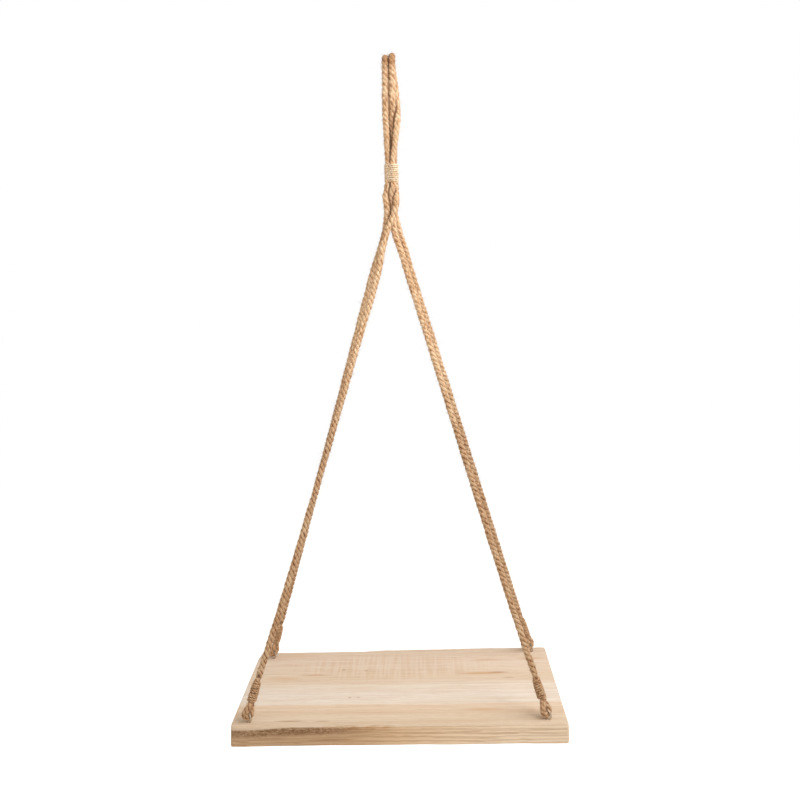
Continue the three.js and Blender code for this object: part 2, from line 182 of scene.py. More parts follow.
def over_the_hook(across):
    """One rope from the whipping up the near run, half a turn round the hook, down the far run."""
    near_keys, near_sizes = down_the_loop(across, -1)
    far_keys, far_sizes = down_the_loop(across, 1)
    side, high = across * crown_side + lean, bend + lift[across]
    arc = np.pi * (1 - np.array([0.17, 0.33, 0.5, 0.67, 0.83]))
    top = [[side, bend * np.cos(a), -hook / 2 + high * np.sin(a)] for a in arc]
    return even_line(
        near_keys[::-1] + top + far_keys, near_sizes[::-1] + [rope] * 5 + far_sizes, rope_step
    )


# %% [markdown]
# ## The four legs
# Under the whipping the runs cross each other, as the picture shows from the front: each has
# its own short list of places through the crossing, to the right and to the back in rope
# diameters. Then it runs almost straight to its corner, passes the twine, goes through the
# ring of the screw eye and comes back up into the twine. The eye lies in a plane that the
# tension has twisted by 42 degrees.

# %% Routes from the whipping to the corners
heights = np.array([0.04, 0.11, 0.19, 0.27, 0.35, 0.43, 0.51, 0.6, 0.72, 1.0])
crossings = {
    "front_left": ((0.61, 0.73, 0.65, 0.4, 0.05, -0.4, -0.84, -1.21, -1.61, -2.38),
                   (0.11, -0.29, -0.68, -0.85, -0.91, -0.95, -1.03, -1.18, -1.43, -2.11)),
    "front_right": ((0.11, -0.11, -0.08, -0.01, 0.13, 0.2, 0.31, 0.64, 1.2, 2.31),
                    (-0.53, -0.16, 0.15, 0.3, 0.28, 0.1, -0.1, -0.28, -0.55, -1.2)),
    "rear_left": ((-0.71, -0.95, -0.86, -0.78, -0.83, -0.99, -1.18, -1.53, -2.11, -3.39),
                  (-0.24, -0.32, -0.38, -0.33, -0.1, 0.18, 0.45, 0.7, 1.05, 1.76)),
    "rear_right": ((-0.15, 0.04, 0.13, 0.29, 0.51, 0.78, 1.06, 1.41, 1.94, 2.93),
                   (0.6, 0.85, 1.15, 1.28, 1.24, 1.2, 1.23, 1.4, 1.7, 2.35)),
}
# How far each screw eye stands from the board's end and edge, and the slack at a leg's middle
insets = {
    "front_left": (17, 16), "front_right": (23.5, 16),
    "rear_left": (17.7, 23), "rear_right": (22.5, 10),
}
sags = {"front_left": 2.4, "front_right": 1.6, "rear_left": 0.5, "rear_right": 0.5}


def unit(vector):
    """The same direction with length one, for one vector or for a column of them."""
    vector = np.asarray(vector, float)
    return vector / np.linalg.norm(vector, axis=-1, keepdims=True)


def foot_of(corner):
    """The screw eye's centre, the top of its wire under the pull of the leg, the direction up
    the leg, the direction across the rope's eye, and where the leg leaves the crossing."""
    right, back = (-1 if "left" in corner else 1), (-1 if "front" in corner else 1)
    from_end, from_edge = insets[corner]
    x, y = right * (half_length - from_end), back * (half_depth - from_edge)
    ring = np.array([x, y, ring_height])
    through = np.array([np.sqrt(0.5), np.sqrt(0.5), 0.0])
    x, y = (places[-1] * rope for places in crossings[corner])
    top = np.array([x, y, turn_cut - crossing])
    away = top - ring
    wire = ring + ring_radius * unit(away - through * (away @ through))
    along = unit(top - wire)
    side = unit(through - along * (through @ along)) * -right
    return ring, wire, along, side, top


def down_the_leg(corner):
    """One leg from the middle of the loop's whipping down, round the ring and up to its tail."""
    across, back = runs[corner]
    _, wire, along, side, top = foot_of(corner)
    deep = np.cross(along, side)

    def in_eye(height, out, twist_share):
        twist = eye_twist * twist_share
        turned = np.cos(twist) * side + np.sin(twist) * deep
        return wire + height * along + out * turned

    # Out of the twine's grip the rope springs back at once, and pushes its neighbours away
    keys = [
        in_loop(across * bundle_side * spread, back * bundle_side * spread, height)
        for height, spread in ((whipping_middle, 1), (-142, 1), (-146.5, 1.12), (turn_cut, 1.28))
    ]
    sizes = [whipped, whipped, 6.8, 7.4]
    right, behind = crossings[corner]
    for x, y, share in zip(right, behind, heights):
        keys.append([x * rope, y * rope, turn_cut - share * crossing])
    sizes += [7.5, 7.7, 7.8, 7.9] + [rope] * 6
    whipping_top = eye_length + eye_whipping
    foot = in_eye(whipping_top + 8, pair_side, 1)
    slack = unit(along * along[2] - np.array([0, 0, 1.0]))
    for share in (0.15, 0.3, 0.45, 0.6, 0.75, 0.92):
        bow_in = sags[corner] * 27 / 4 * share**2 * (1 - share)
        keys.append(top + (foot - top) * share + slack * bow_in)
        sizes.append(rope)
    turn_radius = (ring_wire + bent_rope) / 2 + gap
    shoulder = pair_side + 1.5
    half_circle = np.pi * np.array([0, 0.25, 0.5, 0.75, 1])
    # Height above the wire, way out, share of the twist, and size: the thick twine bites in
    stations = [
        (whipping_top + 8, pair_side, 1, rope),
        (whipping_top, pair_side, 1, 5.8),
        (eye_length + 1, pair_side, 1, 6.0),
        (eye_length * 0.72, shoulder, 0.8, 7.6),
        (eye_length * 0.4, turn_radius, 0.5, 8.0),
        *((-turn_radius * np.sin(a), turn_radius * np.cos(a), 0, 7.9) for a in half_circle),
        (eye_length * 0.4, -turn_radius - 0.4, 0.5, 8.0),
        (eye_length * 0.86, -shoulder - 1.5, 0.9, 7.6),
        (eye_length + 1, -pair_side, 1, 6.0),
        (whipping_top, -pair_side, 1, 5.8),
        (whipping_top + 3, -pair_side - 1.3, 1, 5.6),
    ]
    for height, out, share, size in stations:
        keys.append(in_eye(height, out, share))
        sizes.append(size)
    return even_line(keys, sizes, rope_step), deep


# %% [markdown]
# ## The surface of a laid rope
# Jute rope is laid from three strands, and each strand is spun from yarns that lie on the
# surface nearly in line with the rope. In section three strands are three circles pressed
# into each other, and the section turns as it goes along. So the surface is a tube whose
# radius depends on the angle within the strand, and whose grid turns with the lay. Here the
# strands fall to the right on the side that one looks at, an S lay, 20 mm for a full turn.

# %% Slow irregularity, and a frame along a line
def wander(position, period, seed):
    """A smooth uneven value between about -1.8 and 1.8, and mostly within 1: four sine waves
    near the given period, with seeded lengths and starting points, added up, over 2.2."""
    dice = np.random.default_rng(seed)
    waves = [
        np.sin(2 * np.pi * (position / (period * dice.uniform(0.6, 1.7)) + dice.uniform()))
        for _ in range(4)
    ]
    return sum(waves) / 2.2


def frame_along(points, reference):
    """Directions at each point: along the line, and two across it, the first as near to the
    reference as the line allows and the second square to both."""
    tangent = unit(np.gradient(points, axis=0))
    first = unit(reference - tangent * (tangent @ reference)[:, None])
    return tangent, first, np.cross(tangent, first)


# %% Three strands laid round a line
lay, around = 20.0, 72
# How far out a strand lies and its radius, in shares of the rope's radius, and how far from
# each other two middle lines can be, in mm, before the ropes stop crowding each other
strand_out, strand_round, crowded = 0.33, 0.67, 14


def crowding(ring_points, centre, line, apart=0.0, reach=2.2):
    """How closely the rope on that line lies against each point: 1 where it touches, and 0 from
    reach mm away. Each ring takes the nearest point of the line, and the distance is measured
    square to the line there, less the other rope's radius. Points of the line within apart mm
    of the ring along the rope are left out, for a rope that comes back past itself."""
    other, size, length = line
    way = np.linalg.norm(centre[:, None] - other[None], axis=-1)
    if apart:
        way = np.where(np.abs(length[:, None] - length[None]) < apart, np.inf, way)
    near = way.argmin(axis=1)
    direction = unit(np.gradient(other, axis=0))[near][:, None]
    offset = ring_points - other[near][:, None]
    square = offset - direction * (offset * direction).sum(axis=-1, keepdims=True)
    away = np.linalg.norm(square, axis=-1) - size[near][:, None] / 2
    return np.clip(1 - away / reach, 0, 1) * (way.min(axis=1) < crowded)[:, None]


def lay_rope(line, reference, seed, neighbours=()):
    """Rings of points round the line. Measured from a strand's crest, the radius is
    out * cos(angle) + sqrt(round squared - out squared * sin squared(angle)), which is the outer
    arc of that strand's circle. The crest turns left-handed by one turn in each lay, and yarns
    add small ridges that stay in line with the rope. Where a neighbour is close, the radius
    fills up to a plain round rope's."""
    points, size, length = line
    tangent, first, second = frame_along(points, np.asarray(reference, float))
    grid = np.linspace(0, 2 * np.pi, around, endpoint=False)[None, :]
    turn = -2 * np.pi * length / lay + 0.4 * wander(length, 60, seed)
    angle = grid + turn[:, None]
    within = (grid + np.pi / 3) % (2 * np.pi / 3) - np.pi / 3
    half_chord = strand_out * np.sin(within)
    section = strand_out * np.cos(within) + np.sqrt(strand_round**2 - half_chord**2)
    strand = np.floor((grid + np.pi / 3) / (2 * np.pi / 3)) % 3
    uneven = np.stack([wander(length, 19, seed + 1 + k) for k in range(3)])
    swell = 1 + 0.04 * uneven[strand.astype(int)[0]].T
    yarn = np.abs(np.cos(9 * angle + 0.9 * wander(length, 12, seed + 5)[:, None] + strand))
    radius = size[:, None] / 2 * (section * swell + 0.05 * (yarn - 0.75))
    shift = 0.16 * np.stack([wander(length, 45, seed + 6), wander(length, 45, seed + 7)], axis=1)
    centre = points + first * shift[:, :1] + second * shift[:, 1:]
    ring = first[:, None] * np.cos(angle)[..., None] + second[:, None] * np.sin(angle)[..., None]
    round_rope = centre[:, None] + ring * size[:, None, None] / 2
    crowd = crowding(round_rope, centre, line, apart=18.0, reach=3.2)
    for other in neighbours:
        crowd = np.maximum(crowd, crowding(round_rope, centre, other))
    # Ropes that are pressed together flatten, so the grooves fill where they touch
    radius += (size[:, None] / 2 * 1.03 - radius) * crowd**0.8
    along = np.broadcast_to(length[:, None], angle.shape)
    groove = np.clip((np.abs(within) / (np.pi / 3) - 0.5) / 0.5, 0, 1) ** 1.6 + 0 * angle
    return {
        "rings": centre[:, None] + ring * radius[..., None],
        "centre": centre,
        "outward": ring,
        "tangent": tangent,
        "steady": np.stack([rope / 2 * np.cos(angle), rope / 2 * np.sin(angle), along], axis=-1),
        "groove": groove,
        "crowd": crowd,
    }


# %% [markdown]
# ## From rings to a closed piece
# Neighbouring rings are joined by four-cornered faces, and each end is closed by a flat fan.
# The flat fans keep their own hard edge, so the smooth shading of the tube isn't bent where
# one length of rope is continued by the next. Three maps are stored with the points: places
# on a straightened rope, in millimetres, for the yarns; how deep a point lies in a groove; and
# how closely another rope lies against it.

# %% Rings of points become a closed mesh
def tube_faces(count, sides):
    """Faces of a closed tube of that many rings, outward for rings that run anticlockwise when
    seen against the direction of travel, and fans to one more point at each end."""
    i, j = np.meshgrid(np.arange(count - 1), np.arange(sides), indexing="ij")
    here, beside = i * sides + j, i * sides + (j + 1) % sides
    quads = np.stack([here, beside, beside + sides, here + sides], axis=-1).reshape(-1, 4)
    j = np.arange(sides)
    start, end, last = count * sides, count * sides + 1, (count - 1) * sides
    fans = np.vstack([
        np.column_stack([(j + 1) % sides, j, np.full(sides, start)]),
        np.column_stack([last + j, last + (j + 1) % sides, np.full(sides, end)]),
    ])
    return quads, fans


def new_piece(name, points, quads, fans=None, flat_fans=True, **maps):
    """A mesh object from points in millimetres and arrays of faces. Each map is stored at the
    points, as one number or as three."""
    fans = np.zeros((0, 3), int) if fans is None else fans
    corners = np.concatenate([quads.ravel(), fans.ravel()]).astype(np.int32)
    starts = np.concatenate([4 * np.arange(len(quads)), 4 * len(quads) + 3 * np.arange(len(fans))])
    mesh = bpy.data.meshes.new(name)
    mesh.vertices.add(len(points))
    mesh.vertices.foreach_set("co", (np.asarray(points) / 1000).astype(np.float32).ravel())
    mesh.loops.add(len(corners))
    mesh.loops.foreach_set("vertex_index", corners)
    mesh.polygons.add(len(starts))
    mesh.polygons.foreach_set("loop_start", starts.astype(np.int32))
    mesh.update(calc_edges=True)
    smooth = np.ones(len(starts), bool)
    smooth[len(quads):] = not flat_fans
    mesh.polygons.foreach_set("use_smooth", smooth)
    for key, values in maps.items():
        values = np.asarray(values, np.float32)
        kind, field = ("FLOAT", "value") if values.ndim == 1 else ("FLOAT_VECTOR", "vector")
        mesh.attributes.new(key, kind, "POINT").data.foreach_set(field, values.ravel())
    piece = bpy.data.objects.new(name, mesh)
    bpy.context.scene.collection.objects.link(piece)
    return piece


def rope_length(name, laid, first, last):
    """The stretch of a laid rope between two of its rings, as one closed piece."""
    part, maps = slice(first, last + 1), {}
    for key in ("steady", "groove", "crowd"):
        values = laid[key]
        tips = np.array([values[first].mean(axis=0), values[last].mean(axis=0)])
        maps[key] = np.concatenate([values[part].reshape((-1,) + values.shape[2:]), tips])
    points = np.vstack([laid["rings"][part].reshape(-1, 3), laid["centre"][[first, last]]])
    quads, fans = tube_faces(last + 1 - first, around)
    return new_piece(name, points, quads, fans, **maps)


def as_cord(piece):
    """Add a piece to the rope pieces, which all get the rope's material."""
    ropes.append(piece)


ropes, laid_pieces = [], []
loop_cut = -60  # the height in mm where a rope over the hook is continued by its two runs
# The joint at each kind of piece: the body above, the one below, and the heights between, in mm
at_hook, at_whipping = ("crown", "loop", -2, -24), ("loop", "throat", -106, -128)
at_crossing = ("throat", "shelf", -144, -162)
# For each run its place at the hook, the solid that it replaces in the loop, and in the twine
parts = {
    "front": (("near", "front_right", "front_left"), ("far", "front_left", "front_right")),
    "rear": (("near", "rear_left", "rear_left"), ("far", "rear_right", "rear_right")),
}
hooked = {"front": over_the_hook(1), "rear": over_the_hook(-1)}
for name, other, seed in (("front", "rear", 11), ("rear", "front", 23)):
    (near, far), line = parts[name], hooked[name]
    laid = lay_rope(line, (1, 0, 0), seed, [hooked[other]])
    high = np.flatnonzero(line[0][:, 2] > loop_cut)
    up, down, end = high[0], high[-1], len(line[0]) - 1
    crown = rope_length(f"rope_over_hook_{name}", laid, up, down)
    laid_pieces.append((crown, laid, up, down, at_hook))
    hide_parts(f"crown_{name}_rope")
    for (place, in_the_loop, in_the_twine), first, last in ((near, 0, up), (far, down, end)):
        piece = rope_length(f"rope_in_loop_{name}_{place}", laid, first, last)
        laid_pieces.append((piece, laid, first, last, at_whipping))
        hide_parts(f"loop_run_{in_the_loop}", f"throat_run_{in_the_twine}")
        as_cord(piece)
    as_cord(crown)

legs = {corner: down_the_leg(corner) for corner in runs}
for seed, corner in enumerate(runs):
    line, deep = legs[corner]
    others = [legs[other][0] for other in runs if other != corner]
    laid, end = lay_rope(line, deep, 40 + 10 * seed, others), len(line[0]) - 1
    piece = rope_length(f"rope_leg_{corner}", laid, 0, end)
    laid_pieces.append((piece, laid, 0, end, at_crossing))
    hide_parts(f"leg_{corner}")
    as_cord(piece)

# %% [markdown]
# ## Stray fibres
# Jute is a stiff, hairy fibre, and single hairs stand off the rope all along it. They are far
# too thin to see one by one, yet together they soften the rope's outline. Each hair is a thin
# three-sided tube that leaves the surface nearly in line with the rope and then lifts off.
# All hairs of one rope are worked out at once, as one array of curves.

# %% Hairs along a rope
def hair_surface(base, heading, bow, length, thick, sides=3, steps=4):
    """Every hair at once. A point of a hair is its base, plus heading times the way along it,
    plus bow times the square of that way. Its radius narrows to a third at the tip."""
    t = np.linspace(0, 1, steps)[None, :, None]
    line = base[:, None] + length[:, None, None] * (heading[:, None] * t + bow[:, None] * t**2)
    along = unit(heading[:, None] + 2 * bow[:, None] * t)
    first = unit(np.cross(along, np.roll(along, 1, axis=-1) + [0.3, -0.2, 0.5]))
    second = np.cross(along, first)
    angle = 2 * np.pi * np.arange(sides) / sides
    radius = thick[:, None, None, None] / 2 * (1 - 0.67 * t[..., None])
    ring = first[:, :, None] * np.cos(angle)[:, None]
    ring = ring + second[:, :, None] * np.sin(angle)[:, None]
    points = (line[:, :, None] + ring * radius).reshape(len(base), -1, 3)
    quads, _ = tube_faces(steps, sides)
    last = (steps - 1) * sides
    caps = np.array([[2, 1, 0], [last, last + 1, last + 2]])
    offset = (np.arange(len(base)) * steps * sides)[:, None, None]
    return points.reshape(-1, 3), (quads + offset).reshape(-1, 4), (caps + offset).reshape(-1, 3)


def hairs_on(laid, first, last, count, seed, lengths=(1.0, 9.0)):
    """Seeded bases on the rope's rings between two of them, and the hairs that start there."""
    dice = np.random.default_rng(seed)
    i, j = dice.integers(first, last, count), dice.integers(0, laid["outward"].shape[1], count)
    outward, tangent = laid["outward"][i, j], laid["tangent"][i]
    aside = np.cross(tangent, outward)
    base = laid["rings"][i, j] - 0.15 * outward
    way = dice.choice([-1, 1], count)[:, None]
    heading = way * tangent + dice.normal(0, 0.4, (count, 1)) * aside
    heading = unit(heading + dice.uniform(0.05, 0.8, (count, 1)) * outward)
    bow = outward * dice.uniform(-0.1, 0.6, (count, 1)) + aside * dice.normal(0, 0.3, (count, 1))
    bow -= way * tangent * dice.uniform(0, 0.35, (count, 1))
    length = dice.gamma(2.2, 1.3, count).clip(*lengths)
    return hair_surface(base, heading, bow, length, dice.uniform(0.1, 0.18, count))


fibre_pieces, hairs_per_mm = [], 9
for seed, (piece, laid, first, last, hold) in enumerate(laid_pieces):
    count = int(hairs_per_mm * (last - first) * rope_step)
    points, quads, caps = hairs_on(laid, first, last, count, 300 + seed)
    hairs = new_piece(piece.name.replace("rope_", "fibres_"), points, quads, caps)
    fibre_pieces.append((hairs, hold))
faces = sum(len(hairs.data.polygons) for hairs, _ in fibre_pieces)
print(len(fibre_pieces), "pieces of stray fibre,", faces, "faces")

# %% [markdown]
# ## Each stretch's placement is baked
# Each stretch of rope crosses one joint of the model. Its placement, and that of its hairs, is
# baked into its points.

# %% Bake each stretch's placement into its points
for piece, (above, below, start, end) in [(p, hold) for p, *_, hold in laid_pieces] + fibre_pieces:
    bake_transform(piece)

# %% [markdown]
# ## Twine whippings
# A whipping is thin two-ply twine wound tightly round the ropes to bind them. Its path is a
# rounded rectangle that climbs by a little more than the twine's thickness in each turn. The
# two plies twist about each other, so the section is two circles side by side that turn on
# the way. Both ends are tucked in between the ropes, which is how such a binding is finished.

# %% Twine wound round a bundle
def winding(width, depth, corner, turns, pitch, steps, seed, taper=0.0):
    """Points on a rounded rectangle of half sides width and depth plus the corner's radius,
    climbing evenly but for a small sway that brings the turns together in pairs. The first and
    last third of a turn sink towards the middle, and the last five turns get narrower by up to
    the share that the taper gives."""
    quarter, right = np.linspace(0, np.pi / 2, 9), np.pi / 2
    corners = [(width, -depth, -right), (width, depth, 0), (-width, depth, right)]
    outline = [
        np.column_stack([x + corner * np.cos(a + quarter), y + corner * np.sin(a + quarter)])
        for x, y, a in corners + [(-width, -depth, np.pi)]
    ]
    outline = np.vstack(outline + [outline[0][:1]])
    length = np.concatenate([[0], np.cumsum(np.linalg.norm(np.diff(outline, axis=0), axis=1))])
    share = np.linspace(0, turns, int(turns * steps) + 1)
    way = (share % 1) * length[-1]
    flat = np.column_stack([np.interp(way, length, outline[:, k]) for k in range(2)])
    tuck = np.clip(np.minimum(share, turns - share) / 0.35, 0, 1)
    squeeze = 0.35 + 0.65 * np.sin(np.pi / 2 * tuck)
    squeeze *= 1 + 0.018 * wander(share, 1.3, seed)
    squeeze *= 1 - taper * np.clip((share - turns + 5) / 5, 0, 1) ** 1.5
    sway = 0.12 * wander(share, 2.1, seed + 1) + 0.2 * np.sin(np.pi * share)
    return np.column_stack([flat * squeeze[:, None], pitch * share + sway * tuck])


def two_ply(points, size, twist_length, seed, sides=16):
    """A tube of two plies. Each ply is a circle of 0.68 of the radius, 0.32 of the radius out
    from the middle, and the pair turns once in each twist length."""
    tangent = unit(np.gradient(points, axis=0))
    first = unit(np.cross(tangent, np.array([0.0, 0.0, 1.0])))
    second = np.cross(tangent, first)
    length = np.concatenate([[0], np.cumsum(np.linalg.norm(np.diff(points, axis=0), axis=1))])
    grid = np.linspace(0, 2 * np.pi, sides, endpoint=False)[None, :]
    angle = grid + (2 * np.pi * length / twist_length + 0.3 * wander(length, 9, seed))[:, None]
    within = (grid + np.pi / 2) % np.pi - np.pi / 2
    section = 0.32 * np.cos(within) + np.sqrt(0.68**2 - (0.32 * np.sin(within)) ** 2)
    radius = size / 2 * section * (1 + 0.03 * wander(length, 5, seed + 1))[:, None]
    ring = first[:, None] * np.cos(angle)[..., None] + second[:, None] * np.sin(angle)[..., None]
    along = np.broadcast_to(length[:, None], angle.shape)
    steady = np.stack([np.cos(angle), np.sin(angle), along], axis=-1)
    groove = 0.6 * np.clip((np.abs(within) / (np.pi / 2) - 0.45) / 0.55, 0, 1) ** 1.5 + 0 * angle
    return points[:, None] + ring * radius[..., None], steady, groove


# %% Make the five whippings
def whipping(name, nodes, path, size, placed, body, seed):
    """Wind the twine, carry it to its place with three directions and an origin, and mesh it."""
    rings, steady, groove = two_ply(path, size, 2.8 * size, seed)
    axes, origin = placed
    points = rings.reshape(-1, 3) @ axes + origin
    tips = np.array([rings[0].mean(axis=0), rings[-1].mean(axis=0)]) @ axes + origin
    quads, fans = tube_faces(len(path), rings.shape[1])
    steady = np.vstack([steady.reshape(-1, 3), steady[0].mean(axis=0), steady[-1].mean(axis=0)])
    groove = np.append(groove, [0, 0])
    points = np.vstack([points, tips])
    piece = new_piece(name, points, quads, fans, steady=steady, groove=groove)
    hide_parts(nodes)
    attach(piece, body)
    twines.append(piece)
    print(name, len(piece.data.polygons), "faces")


def about_z(angle):
    """The three directions that a turn about the plumb line gives, as rows."""
    c, s = np.cos(angle), np.sin(angle)
    return np.array([[c, s, 0], [-s, c, 0], [0, 0, 1.0]])


twines, loop_twine, corner_twine = [], 2.3, 2.9
path = winding(bundle_side, bundle_side, 3.65, loop_turns, twine_pitch, 56, 71)
placed = (about_z(loop_twist), np.array([0, 0, -loop_drop - loop_turns * twine_pitch - 0.95]))
whipping("twine_under_loop", "whipping_loop", path, loop_twine, placed, "throat", 72)
for seed, corner in enumerate(runs):
    _, wire, along, side, _ = foot_of(corner)
    across = np.cos(eye_twist) * side + np.sin(eye_twist) * np.cross(along, side)
    axes = np.stack([across, np.cross(along, across), along])
    path = winding(pair_side, 0.0, 4.2, 9, 2.8, 44, 80 + seed, taper=0.22)
    placed = (axes, wire + along * (eye_length + 1.4))
    names = (f"twine_{corner}", f"whipping_{corner}")
    whipping(*names, path, corner_twine, placed, "shelf", 90 + seed)

# %% [markdown]
# ## Screw eyes
# A screw eye is one piece of steel wire: a threaded shank whose upper end is bent round into
# a ring until it nearly meets itself. The shank sits in the wood, and the lowest part of the
# ring is pulled down into the surface. The ring is a tube along that bent line, and the
# thread is a cone whose radius rises and falls once in each turn of its pitch.

# %% Bent wire and thread
def wire_tube(line, sizes, sides=20):
    """A round tube along a flat bent line, with a dome of three small rings at each end."""
    points, size, _ = even_line(line, sizes, 0.35)
    tangent, first, second = frame_along(points, np.array([0.0, 1.0, 0.0]))
    angle = np.linspace(0, 2 * np.pi, sides, endpoint=False)
    dome, count = np.radians([80, 50, 20]), len(points)
    index = np.concatenate([[0] * 3, np.arange(count), [count - 1] * 3])
    out = np.concatenate([np.cos(dome), np.ones(count), np.cos(dome[::-1])]) * size[index] / 2
    ahead = np.concatenate([-np.sin(dome), np.zeros(count), np.sin(dome[::-1])]) * size[index] / 2
    centre = points[index] + tangent[index] * ahead[:, None]
    ring = first[index][:, None] * np.cos(angle)[None, :, None]
    ring = ring + second[index][:, None] * np.sin(angle)[None, :, None]
    return centre[:, None] + ring * out[:, None, None]


def threaded_shank(top, length, tip, radius, pitch, sides=24):
    """A shank round the plumb line, from its point up. The radius is a taper at the tip plus a
    ridge that goes round once in each pitch."""
    z = np.linspace(top - length, top, 90)[:, None]
    angle = np.linspace(0, 2 * np.pi, sides, endpoint=False)[None, :]
    taper = np.clip((z - (top - length)) / tip, 0.02, 1)
    ridge = 1 - 2 * np.abs(((z / pitch - angle / (2 * np.pi)) % 1) - 0.5)
    fade = np.clip((top - z) / 2.0, 0, 1)
    r = taper * (radius - 0.3 * fade + 0.45 * fade * (ridge**2 - 0.3))
    return np.stack([r * np.cos(angle), r * np.sin(angle), z + 0 * angle], axis=-1)


eyes = []
ring_angles = np.radians([-70, -45, -20, 10, 45, 80, 115, 150, 185, 220, 245, 258])
bent = [[0, 0, -12], [0, 0, -10], [0.25, 0, -8.2], [0.95, 0, -6.75]]
bent += [[ring_radius * np.cos(a), 0, ring_radius * np.sin(a)] for a in ring_angles]
wire_sizes = [2.9, 2.9, 2.7, 2.2] + [1.7] * len(ring_angles)
for corner in runs:
    ring = foot_of(corner)[0]
    points, quads, fans, count = [], [], [], 0
    shank = threaded_shank(top=-10.0, length=10.0, tip=4.0, radius=1.5, pitch=1.3)
    for rings in (wire_tube(bent, wire_sizes), shank):
        faces, caps = tube_faces(*rings.shape[:2])
        points += [rings.reshape(-1, 3), rings[0].mean(axis=0)[None], rings[-1].mean(axis=0)[None]]
        quads.append(faces + count)
        fans.append(caps + count)
        count += rings.shape[0] * rings.shape[1] + 2
    points = np.vstack(points) @ about_z(ring_turn) + ring
    name = f"bent_wire_eye_{corner}"
    piece = new_piece(name, points, np.vstack(quads), np.vstack(fans), flat_fans=False)
    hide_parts(f"screw_eye_{corner}")
    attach(piece, "shelf")
    eyes.append(piece)
print(len(eyes), "screw eyes of", len(eyes[0].data.polygons), "faces")

# %% [markdown]
# ## The board
# The board is sawn, not planed: its edges are never quite straight, the arrises are rubbed
# off unevenly, and along the front a stretch of the upper edge has torn out. Its section is
# a rounded rectangle whose four corners each have their own radius, and this section is
# carried from end to end while the sizes wander a little.

# %% The outline of one section, and the board along it
def ease(value, start, end):
    """0 before start, 1 after end, and 3 t squared minus 2 t cubed in between. The end may also
    lie below the start."""
    t = np.clip((value - start) / (end - start), 0, 1)
    return t * t * (3 - 2 * t)


def board_rings():
    """Sections of the board from left to right. Over the last 3 mm the plan's corners draw the
    sides in on a quarter circle, and over the last millimetre the arris draws the top down. The
    rear edge isn't square to the ends: it runs back by a few millimetres towards the right."""
    radius = 3  # of the plan's corners
    flat = half_length - radius
    end = flat + radius * np.sin(np.radians(np.linspace(0, 90, 9)))
    x = np.concatenate([-end[::-1], np.linspace(-flat, flat, 480)[1:-1], end])
    turned_in = np.clip(np.abs(x) - flat, 0, radius)
    drawn_in = radius - np.sqrt(radius**2 - turned_in**2)
    arris = np.clip(np.abs(x) - (half_length - 1), 0, 1)
    front = half_depth - 0.2 - drawn_in + 0.25 * wander(x, 90, 5) + 0.1 * wander(x, 17, 6)
    rear = half_depth - 3.2 + 4.2 * ease(x, -60, -22) + 2.6 * ease(x, -10, 130) - drawn_in
    rear = rear + 0.3 * wander(x, 60, 7) + 0.12 * wander(x, 14, 8)
    top = -arris + 0.06 * wander(x, 60, 9)
    # The right end's lower arris is rounded as far as the plan's corners are
    rounded = 1 - np.sqrt(1 - np.clip((x - half_length + radius) / radius, 0, 1) ** 2)
    bottom = -thickness - 0.9 - 0.7 * ease(x, -90, -200) + arris + radius * rounded
    bottom = bottom + 0.2 * wander(x, 75, 10)
    jagged = (1 + 0.4 * wander(x, 27, 11) + 0.16 * wander(x, 8, 12)).clip(0.25, 2)
    torn = ease(x, -100, -72) * ease(x, -2, -16) * jagged
    worn = ease(x, -128, -165)
    soft = 1 - 0.6 * arris
    # How far each long corner is rounded, sideways and up or down
    back = 1.3 + 0.5 * wander(x, 40, 13) + 2.2 * torn + 1.6 * worn + 1.4 * ease(x, 40, 150)
    down = 0.9 + 0.3 * wander(x, 33, 17) + 0.9 * torn + 1.5 * worn
    plain = [(0.7 + 0.2 * wander(x, 40, seed)) * soft for seed in (14, 15, 16)]
    sideways, upright = (*plain, back.clip(0.5, 5) * soft), (*plain, down.clip(0.4, 4) * soft)
    return x, front, rear, top, bottom, sideways, upright, torn


def section(x, front, rear, top, bottom, sideways, upright):
    """Points round each section: bottom, rear side, top and front side, each a straight run
    between the rounded corners. They run anticlockwise when seen from the right end."""
    arc = np.radians(np.linspace(0, 90, 6))[None, :]
    warp = 0.7 * x / half_length
    corners = [
        (-front, bottom, 180, 1, 1), (rear, bottom + warp, 270, -1, 1),
        (rear, top + warp, 0, -1, -1), (-front, top, 90, 1, -1),
    ]
    spans = []
    for (y, z, start, inward_y, inward_z), wide, high in zip(corners, sideways, upright):
        turn = np.radians(start) + arc
        across = (y + inward_y * wide)[:, None] + wide[:, None] * np.cos(turn)
        upward = (z + inward_z * high)[:, None] + high[:, None] * np.sin(turn)
        spans.append(np.stack([across, upward], axis=-1))
    rows = []
    for k, steps in enumerate((16, 10, 36, 10)):
        rows.append(spans[k])
        a, b = spans[k][:, -1:], spans[(k + 1) % 4][:, :1]
        rows.append(a + (b - a) * np.linspace(0, 1, steps + 1)[1:-1][None, :, None])
    yz = np.concatenate(rows, axis=1)
    return np.concatenate([np.broadcast_to(x[:, None, None], yz.shape[:2] + (1,)), yz], axis=-1)


def out_of_square(rings):
    """The ends aren't cut square. They lean outward towards the bottom, and the left end bulges
    by two millimetres between its corners. The last 60 mm of the board take up the shift."""
    x, y, depth = rings[..., 0], rings[..., 1], -rings[..., 2] / thickness
    left_end = 2.3 - 2.2 * ease(y, 95, 125) - 1.2 * ease(y, -112, -125) * (1 - depth)
    right_end = 0.5 + 0.9 * depth
    rings[..., 0] += right_end * ease(x, 140, 200) - left_end * ease(x, -140, -200)
    return rings


